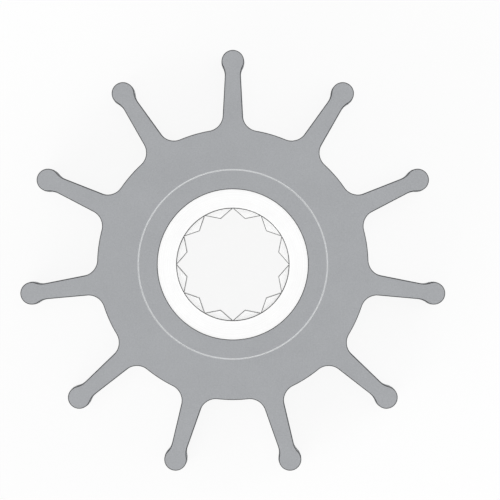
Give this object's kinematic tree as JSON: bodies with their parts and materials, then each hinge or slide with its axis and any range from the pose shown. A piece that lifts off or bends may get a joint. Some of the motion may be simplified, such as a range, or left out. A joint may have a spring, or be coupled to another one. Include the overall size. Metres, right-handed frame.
{
  "type": "flexible pump impeller",
  "caption": "Flexible rubber pump impeller with bulb-tipped radial vanes, bonded to a metal hub insert with a splined bore.",
  "frame": {"origin": "on the shaft axis, midway between the two end faces", "axes": "+Z along the shaft axis; +Y through the middle of one vane and of one spline groove"},
  "size_m": [0.0942, 0.0934, 0.0636],
  "materials": {
    "vane_rubber": "matt moulded",
    "insert_metal": "fine turned"
  },
  "bodies": {
    "root": {"vaned_body": "vane_rubber", "hub_insert": "insert_metal"}
  },
  "joints": []
}
